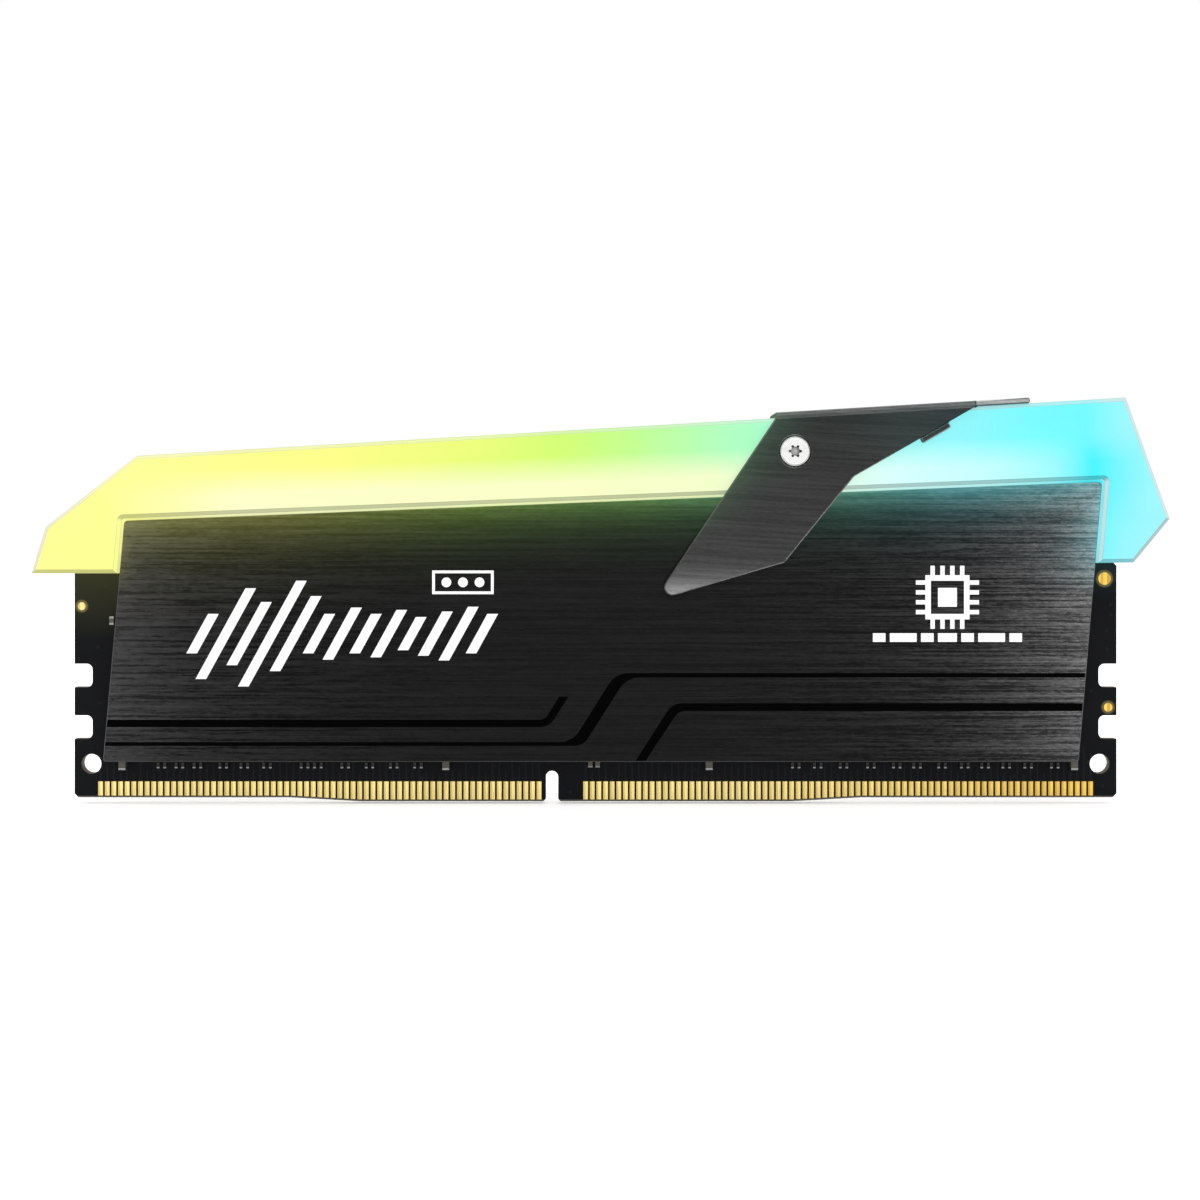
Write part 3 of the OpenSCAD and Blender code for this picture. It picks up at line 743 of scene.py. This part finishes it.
def short_stripe():
    """Upper left line, which turns up and stops."""
    return rounded([
        (left_end(9.75), 9.75, 0), (-5.86, 9.75, 2.2), (-3.43, 13.61, 0),
        (-4.60, 13.61, 0), (-6.45, 10.68, 1.2), (left_end(10.68), 10.68, 0),
    ])


def long_stripe():
    """Line from the left end that steps up to the right end, broad where it climbs."""
    return rounded([
        (left_end(7.38), 7.38, 0), (-1.56, 7.38, 2), (3.97, 16.04, 3),
        (right_end(16.04), 16.04, 0), (right_end(16.60), 16.60, 0),
        (2.56, 16.60, 3), (-2.95, 7.84, 3), (left_end(7.84), 7.84, 0),
    ])


def foot_stripe():
    """Line that climbs from the foot and runs to the right end."""
    foot = SPREADER_FOOT + INK_MARGIN
    return rounded([
        (6.34, foot, 0), (10.53, 11.79, 1.5), (right_end(11.79), 11.79, 0),
        (right_end(12.78), 12.78, 0), (9.76, 12.78, 2.2), (5.06, foot, 0),
    ])


def box_outline(x, z, width, height, lean=0.0):
    """Four-sided outline round the middle x, z, whose upright sides lean by dx/dz."""
    shift = lean * height / 2
    left, right = x - width / 2, x + width / 2
    foot, head = z - height / 2, z + height / 2
    return [
        complex(left - shift, foot), complex(right - shift, foot),
        complex(right + shift, head), complex(left + shift, head),
    ]


def frame_outlines(x, z, width, height, line):
    """The four bars of a rectangular frame."""
    return [
        box_outline(x, z - (height - line) / 2, width, line),
        box_outline(x, z + (height - line) / 2, width, line),
        box_outline(x - (width - line) / 2, z, line, height - 2 * line),
        box_outline(x + (width - line) / 2, z, line, height - 2 * line),
    ]


def dot(x, z, radius, steps=20):
    turn = 2 * math.pi / steps
    return [complex(x + radius * math.cos(i * turn), z + radius * math.sin(i * turn))
            for i in range(steps)]


def level_bars():
    """A row of leaning bars, tall at the left, like the levels of an equaliser."""
    heights = [5.0, 11.5, 8.0, 13.4, 9.5, 5.0, 6.6, 5.0, 6.0, 4.2, 5.6, 6.8, 5.0]
    pitch, width, lean, middle = 2.95, 1.35, 0.55, 21.6
    first = -49.8
    return [box_outline(first + i * pitch, middle, width, h, lean) for i, h in enumerate(heights)]


def lamp_tag():
    """Small frame with one dot for each of the lamps' three colours."""
    x, z = -16.8, 28.1
    tag = frame_outlines(x, z, 7.8, 3.0, 0.35)
    return tag + [dot(x + i * 2.1, z, 0.62) for i in (-1, 0, 1)]


def chip_sign():
    """Sign of a memory chip: a square with a core and legs, over a row of dashes."""
    x, z, size, leg = 44.6, 26.2, 5.6, 0.6
    sign = frame_outlines(x, z, size, size, 0.7) + [box_outline(x, z, 2.4, 2.4)]
    for i in (-1.5, -0.5, 0.5, 1.5):
        for side in (-1, 1):
            off = side * (size / 2 + leg)
            sign.append(box_outline(x + i * 1.25, z + off, 0.55, 2 * leg))
            sign.append(box_outline(x + off, z + i * 1.25, 2 * leg, 0.55))
    dashes = [1.6, 3.4, 1.6, 2.4, 1.6, 3.4, 1.6]
    gap = 0.55
    start = x - (sum(dashes) + gap * (len(dashes) - 1)) / 2
    for width in dashes:
        sign.append(box_outline(start + width / 2, 21.1, width, 1.1))
        start += width + gap
    return sign


def print_spreaders(finishes):
    stripes = [short_stripe(), long_stripe(), foot_stripe()]
    make_prints("stripes_front", stripes, "print_black", finishes)
    make_prints("stripes_back", stripes, "print_black", finishes, on_back=True)
    make_prints("level_bars", level_bars(), "print_white", finishes)
    make_prints("lamp_tag", lamp_tag(), "print_white", finishes)
    make_prints("chip_sign", chip_sign(), "print_white", finishes)


# ---------- Studio ----------


def make_floor():
    floor_finish = speckled("floor", (250, 250, 250), (254, 254, 254), 60.0, (0.8, 0.9),
                            {"Specular IOR Level": 0.0, "Emission Strength": 0.3,
                             "Emission Color": (1, 1, 1, 1)})
    mesh = bmesh.new()
    bmesh.ops.create_grid(mesh, x_segments=4, y_segments=4, size=FLOOR_REACH)
    data = bpy.data.meshes.new("floor")
    mesh.to_mesh(data)
    mesh.free()
    data.materials.append(floor_finish.material)
    floor = bpy.data.objects.new("floor", data)
    floor.location.z = CAD_BOX[0].z - FLOOR_GAP * MM
    bpy.context.scene.collection.objects.link(floor)


def make_world():
    world = bpy.data.worlds.new("studio")
    world.use_nodes = True
    world.node_tree.nodes["Background"].inputs["Color"].default_value = (1, 1, 1, 1)
    world.node_tree.nodes["Background"].inputs["Strength"].default_value = 1.0
    bpy.context.scene.world = world


def make_light(name, place, target, width, height, watts):
    """Soft box at place, turned towards target, both in metres."""
    data = bpy.data.lights.new(name, "AREA")
    data.shape = "RECTANGLE"
    data.size = width
    data.size_y = height
    data.energy = watts
    light = bpy.data.objects.new(name, data)
    light.location = place
    aim = Vector(target) - light.location
    light.rotation_mode = "QUATERNION"
    light.rotation_quaternion = aim.to_track_quat("-Z", "Y")
    bpy.context.scene.collection.objects.link(light)
    return light


def shine_only_on(light, names):
    """Keeps a light's shine to these CAD nodes."""
    lit = bpy.data.collections.new(light.name + "_lit")
    for name in names:
        lit.objects.link(frame["nodes"][name])
    light.light_linking.receiver_collection = lit


def make_lights():
    middle = (0.0, 0.0, 0.026)
    for side in (-1, 1):
        front = "front" if side < 0 else "back"
        right = 0.42 * -side
        strong = make_light("strip_strong_" + front, (right, side, 0.06), middle, 0.06, 0.2, 20)
        weak = make_light("strip_weak_" + front, (-right, side, 0.06), middle, 0.14, 0.2, 5)
        for strip in (strong, weak):
            shine_only_on(strip, ["heat_spreader_" + front])
        make_light("top_" + front, (0, side * 0.5, 0.9), middle, 0.8, 0.4, 2)


def make_camera():
    """Level camera in front of the module, a little below its top."""
    distance = 230.0
    view_width = 153.55
    camera_height = 36.0
    data = bpy.data.cameras.new("camera")
    data.sensor_width = 36.0
    data.lens = data.sensor_width * distance / view_width
    middle_z = (CAD_BOX[0].z + CAD_BOX[1].z) / 2 / MM
    data.shift_y = (middle_z - camera_height) / view_width
    data.clip_start = 0.01
    camera = bpy.data.objects.new("camera", data)
    board_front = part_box("circuit_board")[0].y
    camera.location = (0.57 * MM, board_front - distance * MM, camera_height * MM)
    camera.rotation_euler = (math.radians(90), 0, 0)
    bpy.context.scene.collection.objects.link(camera)
    bpy.context.scene.camera = camera


def make_studio():
    make_floor()
    make_world()
    make_lights()
    make_camera()
    bpy.context.scene.view_settings.view_transform = "Standard"


# ---------- The scene ----------

all_finishes = make_finishes()
dress_nodes(all_finishes)
soften_edges()
print_spreaders(all_finishes)
make_studio()
